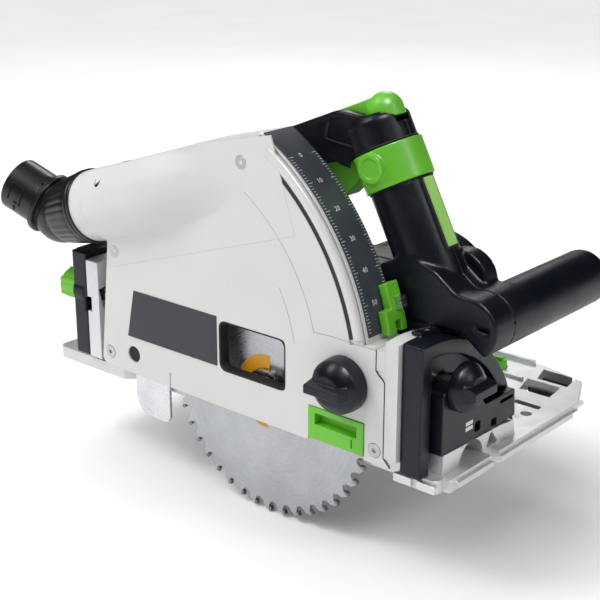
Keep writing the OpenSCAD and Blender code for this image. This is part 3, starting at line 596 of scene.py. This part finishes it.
def duct_hole():
    pts = []
    for i in range(24):
        a = math.radians(15 * i)
        pts.append((2.6 * math.cos(a), 3.6 * math.sin(a) * (1.25 if math.sin(a) > 0 else 1.0)))
    verts = []
    for lift in (0.18, -0.8):
        for s, t in pts:
            t2 = 15.5 + t
            y = -3.5 - math.sqrt(max(0.0, (DUCT_R + lift) ** 2 - t2 * t2))
            p = DUCT_END + DUCT_IN * (30.5 + s) + DUCT_UP * t2
            verts.append((p.x, y, p.z))
    n = len(pts)
    faces = [tuple(range(n)), tuple(range(2 * n - 1, n - 1, -1))]
    faces += [(i, (i + 1) % n, n + (i + 1) % n, n + i) for i in range(n)]
    settle("duct_hole", mesh_of(verts, faces), "head", "black_rubber")


duct_hole()


# ---------------------------------------------------------------- blade mark
def ring_sector(c, r0, r1, a0, a1, y0, y1, n=36):
    pts = [at(c, r1, a0 + (a1 - a0) * i / n) for i in range(n + 1)]
    pts += [at(c, r0, a1 - (a1 - a0) * i / n) for i in range(n + 1)]
    return slab(pts, y0, y1)


settle("blade_mark", ring_sector(ARBOR_XZ, 15.4, 24.0, 84, 270, -0.96, -0.85), "arbor", "amber_mark")
TEETH = 42
FIRST_TIP = 201.85
carbide = []
for i in range(TEETH):
    a = FIRST_TIP + i * 360 / TEETH
    pts = [at(ARBOR_XZ, r, a + turn) for r, turn in ((79.95, 0), (76.9, -0.1), (76.4, 1.0), (79.2, 1.5))]
    carbide.append(slab(pts, -1.25, 1.25))
settle("carbide_tips", joined(carbide), "arbor", "carbide")


# ---------------------------------------------------------------- depth scale: ticks and figures
def arc_decal(points, a_mid, y_mid, lift):
    """Flat figures laid on the arc: u runs across the strip (+y), v up along the arc, in millimetres."""
    out = []
    for u, v in points:
        x, z = at(PIVOT, ARC_R + lift, a_mid + math.degrees(v / ARC_R))
        out.append((x, y_mid + u, z))
    return out


def depth_print():
    verts, faces = [], []

    def quad(u0, u1, v0, v1):
        k = len(verts)
        verts.extend(arc_decal([(u0, v0), (u1, v0), (u1, v1), (u0, v1)], 0, 0, 0.06))
        faces.append((k, k + 1, k + 2, k + 3))

    top, step = math.radians(52.6) * ARC_R, 1.87
    for i in range(59):
        v = top - i * step
        long_ = 3.6 if i % 10 == 0 else (2.8 if i % 5 == 0 else 1.8)
        quad(-9.1, -9.1 + long_, v - 0.14, v + 0.14)
        quad(13.9 - long_, 13.9, v - 0.14, v + 0.14)
    for i in range(6):
        dv, df = lettering(str(10 * i), 4.3)
        k = len(verts)
        v = top - i * 10 * step
        verts.extend(arc_decal([(q[0], q[1]) for q in dv], math.degrees(v / ARC_R), 0.8, 0.06))
        faces.extend([tuple(k + w for w in f) for f in df])
    settle("depth_print", mesh_of(verts, faces), "head", "white_print")


depth_print()


def bevel_print():
    """Degree marks on the lip of the front segment, about the bevel axis (x along, y-z arc)."""
    verts, faces = [], []
    r = 88.5 + 0.05

    def place(u, v):
        a = v / r
        return (105.6 + u, r * math.cos(a), r * math.sin(a))

    for i in range(37):
        v = math.radians(84 - i * 1.6) * r
        long_ = 2.0 if i % 5 == 0 else 1.2
        k = len(verts)
        ends = ((0.0, -0.13), (long_, -0.13), (long_, 0.13), (0.0, 0.13))
        verts.extend([place(-2.6 + u, v + dv) for u, dv in ends])
        faces.append((k, k + 1, k + 2, k + 3))
    for i in range(4):
        dv, df = lettering(str(45 - 15 * i), 2.9)
        k = len(verts)
        v = math.radians(82.5 - i * 13.5) * r
        verts.extend([place(1.2 + q[1], v - q[0]) for q in dv])
        faces.extend([tuple(k + w for w in f) for f in df])
    settle("bevel_print", mesh_of(verts, faces), "base", "white_print")


bevel_print()

# ---------------------------------------------------------------- elbow
OUT = -DUCT_IN


def elbow_pieces():
    base = DUCT_END

    def ribs(a, h):
        if h < 4.0 or h > 27.0:
            return 1.0
        return 1.0 + 0.022 * (0.5 + 0.5 * math.cos(30 * a)) ** 0.6 * min(1.0, (h - 4) / 2, (27 - h) / 2)

    profile = [(17.1, 0.4), (24.1, 0.4), (24.4, 1.0), (24.4, 2.4), (24.0, 3.0), (23.3, 3.5), (23.25, 4.2),
               (23.3, 6.0),
               (22.95, 9.0), (22.5, 13.0), (22.0, 17.0), (21.5, 21.0), (21.0, 25.0), (20.7, 26.5),
               (20.5, 27.2), (20.2, 28.6), (19.7, 28.9), (17.1, 28.9)]
    collar = lathe(profile, base, OUT, 480, ribs)
    shade(collar, 50)
    settle("collar_ribbed", collar, "elbow", "elbow_black", ["elbow_collar"])
    band = [(23.4, -2.6), (24.3, -2.5), (24.5, -1.4), (24.3, -0.3), (23.4, -0.2)]
    settle("duct_band", lathe(band, base, OUT, 96), "head", "elbow_black")


elbow_pieces()
EBASE = DUCT_END + OUT * BALL_Z
lo_ring, hi_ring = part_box("hose_ring")
RING_MID = (lo_ring + hi_ring) / 2 / MM
E_DIR = (RING_MID - EBASE).normalized()


def outlet_pieces():
    """Turned outlet with a rolled mouth, and its bayonet clip on the near side."""
    profile = [(14.55, 8.0), (18.3, 8.0), (18.25, 14.0), (18.0, 15.2), (17.95, 38.4), (17.6, 39.4),
               (16.9, 39.95), (15.4, 39.95),
               (14.7, 39.3), (14.55, 38.0)]
    settle("outlet_tube", lathe(profile, EBASE, E_DIR, 96), "elbow", "elbow_black")
    ring = [(18.25, 10.6), (20.4, 10.7), (20.95, 11.3), (20.95, 13.9), (20.4, 14.45), (18.25, 14.5)]
    settle("outlet_ring", lathe(ring, EBASE, E_DIR, 96), "elbow", "elbow_black",
           ["hose_ring"])
    side = (Vector((0.0, -1.0, 0.0)) - E_DIR * Vector((0.0, -1.0, 0.0)).dot(E_DIR)).normalized()
    up = E_DIR.cross(side).normalized()
    if up.z < 0:
        up = -up
    parts = []

    def plate(h0, h1, a0, a1, r0, r1, n=10):
        verts, m = [], n + 1
        for r in (r0, r1):
            for h in (h0, h1):
                for i in range(m):
                    a = math.radians(a0 + (a1 - a0) * i / n)
                    verts.append(EBASE + E_DIR * h + (side * math.cos(a) + up * math.sin(a)) * r)
        faces = []
        for i in range(n):
            faces += [(i, i + 1, m + i + 1, m + i), (2 * m + i, 2 * m + i + 1, 3 * m + i + 1, 3 * m + i),
                      (i, i + 1, 2 * m + i + 1, 2 * m + i), (m + i, m + i + 1, 3 * m + i + 1, 3 * m + i)]
        faces += [(0, m, 3 * m, 2 * m), (n, m + n, 3 * m + n, 2 * m + n)]
        return mesh_of(verts, faces)

    for h0, h1, a0, a1 in ((24, 25.4, -6, 32), (33.6, 35.0, -6, 32), (24, 35, 31, 36), (24, 29, -10, -5),
                           (28, 29.4, -28, -8)):
        parts.append(plate(h0, h1, a0, a1, 17.6, 18.75))
    parts.append(plate(14.2, 17.2, 62, 84, 17.6, 20.3))
    settle("outlet_clip", joined(parts), "elbow", "elbow_black")


outlet_pieces()
remoulded("elbow_ball", ["dust_elbow"], 0.45, 4, "elbow", "elbow_black")

# ---------------------------------------------------------------- handles and controls
GRIP_Y = 40.0


def shoulder_panel():
    """Raised rim round a shallow panel on the near side of the top bar."""
    loop = []
    corners = [(21.0, 179.5, 3.0), (24.0, 193.0, 5.0), (46.0, 195.8, 6.0), (53.5, 184.5, 5.0),
               (51.0, 176.5, 2.0)]
    pts = [Vector((x, z)) for x, z, _ in corners]
    for i, (_, _, r) in enumerate(corners):
        p, a, b = pts[i], pts[i - 1], pts[(i + 1) % len(pts)]
        for k in range(9):
            t = k / 8
            start, end = p + (a - p).normalized() * r, p + (b - p).normalized() * r
            loop.append(start * (1 - t) ** 2 + p * 2 * t * (1 - t) + end * t ** 2)
    mid = sum(loop, Vector((0, 0))) / len(loop)
    steps = [(1.03, 1.2), (1.01, 0.1), (0.97, -0.8), (0.92, -0.85), (0.88, -0.2), (0.86, 0.1), (0.5, -0.15),
             (0.0, -0.2)]
    verts = [(q.x, 25.0 + d, q.y) for k, d in steps for q in [mid + (p - mid) * k for p in loop]]
    n = len(loop)
    faces = [(i * n + j, i * n + (j + 1) % n, (i + 1) * n + (j + 1) % n, (i + 1) * n + j)
             for i in range(len(steps) - 1) for j in range(n)]
    settle("shoulder_panel", mesh_of(verts, faces, 50), "motor_unit", "navy_plastic")


shoulder_panel()
for name, h, r in (("sleeve_ring", 31.1, 18.9), ("sleeve_ring_low", 7.4, 18.95)):
    band = lathe([(r - 1.2, h), (r, h + 0.05), (r + 0.25, h + 0.45), (r, h + 0.9), (r - 1.2, h + 0.95)],
                 GRIP_MID, GRIP_UP)
    settle(name, band, "motor_unit", "black_rubber")


def handle_calm(p):
    seam = (abs(p.y - GRIP_Y) - 0.5) / 2.5
    rel = p - GRIP_MID
    h, out = rel.dot(GRIP_UP), rel.dot(GRIP_OUT)
    band = min(abs(h - 8.1), abs(h - 30.9)) / 2.0 if abs(out) < 26 and abs(p.y - GRIP_Y) < 26 else 1.0
    return min(seam, band)


remoulded("handle_left", ["handle_shell_left"], 0.8, 16, "motor_unit", "grip_plastic", calm=handle_calm)
remoulded("handle_right", ["handle_shell_right"], 0.8, 16, "motor_unit", "grip_plastic", calm=handle_calm)
remoulded("lever_soft", ["swing_lever"], 0.45, 5, "swing_lever", "green_plastic")
remoulded("lock_soft", ["switch_lock"], 0.45, 6, "switch_lock", "green_plastic")
remoulded("trigger_soft", ["trigger"], 0.5, 6, "trigger", "green_plastic")
remoulded("stop_soft", ["depth_stop"], 0.4, 4, "depth_stop", "green_plastic")
remoulded("front_knob_soft", ["front_bevel_knob"], 0.4, 7, "front_bevel_knob", "navy_plastic")
remoulded("cover_knob_soft", ["cover_knob"], 0.4, 7, "cover_knob", "navy_plastic")
remoulded("rear_knob_soft", ["rear_bevel_knob"], 0.4, 4, "rear_bevel_knob", "green_plastic")
remoulded("front_cam_soft", ["front_rail_cam"], 0.4, 4, "front_rail_cam", "green_plastic")
remoulded("rear_cam_soft", ["rear_rail_cam"], 0.4, 4, "rear_rail_cam", "green_plastic")
remoulded("front_segment_soft", ["front_segment"], 0.6, 5, "base", "navy_plastic")
remoulded("clamp_block_soft", ["clamp_block"], 0.5, 3, "base", "navy_plastic")
remoulded("rear_segment_soft", ["rear_segment"], 0.6, 4, "base", "navy_plastic")


def grip_box(x0, x1, y0, y1, z0, z1):
    """Box in the frame of the grip: x points forward out of it, z runs up it."""
    verts = [GRIP_MID + GRIP_OUT * x + Vector((0, y, 0)) + GRIP_UP * z
             for z in (z0, z1) for y in (y0, y1) for x in (x0, x1)]
    faces = [(0, 1, 3, 2), (4, 5, 7, 6), (0, 1, 5, 4), (2, 3, 7, 6), (0, 2, 6, 4), (1, 3, 7, 5)]
    return mesh_of(verts, faces)


# two white dashes beside the slots of the clamp block: painted highlights, in the print colour
highlight_strokes = [slab([(125.7, z), (126.08, z), (126.08, z + 2.3), (125.7, z + 2.3)], 25.0, 32.0)
          for z in (27.4, 30.6)]
settle("clamp_painted_highlights", joined(highlight_strokes), "base", "white_print")
settle("inlay_bed", grip_box(15.0, 18.9, -5.3, 5.3, -35.2, 7.2), "motor_unit", "black_rubber")
# the grip inlay takes the lighter green, painted light standing for the strong light falling on it
NODES["grip_inlay"].material_slots[0].material = LOOKS["green_painted_light"]


def plan(points, z0, z1):
    """Outline of (x, y) points as a flat plate."""
    n = len(points)
    verts = [(x, y, z0) for x, y in points] + [(x, y, z1) for x, y in points]
    faces = [tuple(range(n)), tuple(range(2 * n - 1, n - 1, -1))]
    return mesh_of(verts, faces + [(i, (i + 1) % n, n + (i + 1) % n, n + i) for i in range(n)])


# dark pads at the bottom of three pockets of the base
PAD_OUTLINES = (
    [(92.3, 160.3), (113.7, 160.3), (110.8, 175.7), (87.4, 175.7)],
    [(92.3, 150.3), (113.3, 150.3), (110.8, 155.7), (87.6, 155.7)],
    [(100.6, 117.6), (118.4, 117.6), (117.6, 121.4), (99.8, 121.4)],
)
pads = [plan(outline, 0.4, 2.2) for outline in PAD_OUTLINES]
settle("sole_pads", joined(pads), "base", "black_rubber")

# ---------------------------------------------------------------- stage, camera, light
lo, hi = (Vector(v) for v in CAD_BOX)
middle = (lo + hi) / 2
BACK = Vector((0.6157, -0.7153, 0.3305)).normalized()
camera = bpy.data.objects.new("camera", bpy.data.cameras.new("camera"))
scene.collection.objects.link(camera)
camera.location = (0.5016, -0.5535, 0.3452)
camera.rotation_mode = "QUATERNION"
camera.rotation_quaternion = (-BACK).to_track_quat("-Z", "Y")
camera.data.lens = 80.34
camera.data.sensor_width = 36
scene.camera = camera


def floor_at(z):
    mesh = bpy.data.meshes.new("floor")
    r = 14.0
    mesh.from_pydata([(-r, -r, z), (r, -r, z), (r, r, z), (-r, r, z)], [], [(0, 1, 2, 3)])
    o = bpy.data.objects.new("floor", mesh)
    scene.collection.objects.link(o)
    m = Look("floor_paper").put(Specular_IOR_Level=0.1)
    m.colour(m.ramp(m.noise(6.0), (0.3, (0.86, 0.86, 0.86)), (0.7, (0.90, 0.90, 0.90))))
    m.rough(m.span(m.noise(200.0), 0.3, 0.7, 0.75, 0.9))
    mesh.materials.append(m.done())


floor_at(lo.z - 0.0005)


def lamp(name, where, size, power, lights_matt=True):
    light = bpy.data.lights.new(name, "AREA")
    light.shape = "DISK"
    light.size = size
    light.energy = power
    o = bpy.data.objects.new(name, light)
    o.location = middle + Vector(where)
    o.rotation_mode = "QUATERNION"
    o.rotation_quaternion = (middle - o.location).to_track_quat("-Z", "Y")
    o.visible_diffuse = lights_matt
    scene.collection.objects.link(o)


lamp("key", (-0.75, -0.75, 1.30), 0.55, 8.0)
lamp("side", (1.2, 0.1, 0.75), 0.30, 2.5)
lamp("rim", (-0.7, 1.1, 0.9), 0.60, 5.0)
lamp("gleam", (0.55, -0.35, 1.30), 0.45, 24.0, lights_matt=False)
sun = bpy.data.lights.new("sun", "SUN")
sun.energy = 2.12
sun.angle = math.radians(80)
sky = bpy.data.objects.new("sun", sun)
sky.rotation_mode = "QUATERNION"
sky.rotation_quaternion = Vector((0.38, 0.32, -0.86)).to_track_quat("-Z", "Y")
sky.visible_glossy = False
scene.collection.objects.link(sky)
world = bpy.data.worlds.new("studio")
scene.world = world
world.use_nodes = True
world.node_tree.nodes["Background"].inputs["Color"].default_value = (0.95, 0.97, 1.0, 1.0)
world.node_tree.nodes["Background"].inputs["Strength"].default_value = 0.38
world.cycles_visibility.glossy = False
scene.view_settings.view_transform = "Standard"
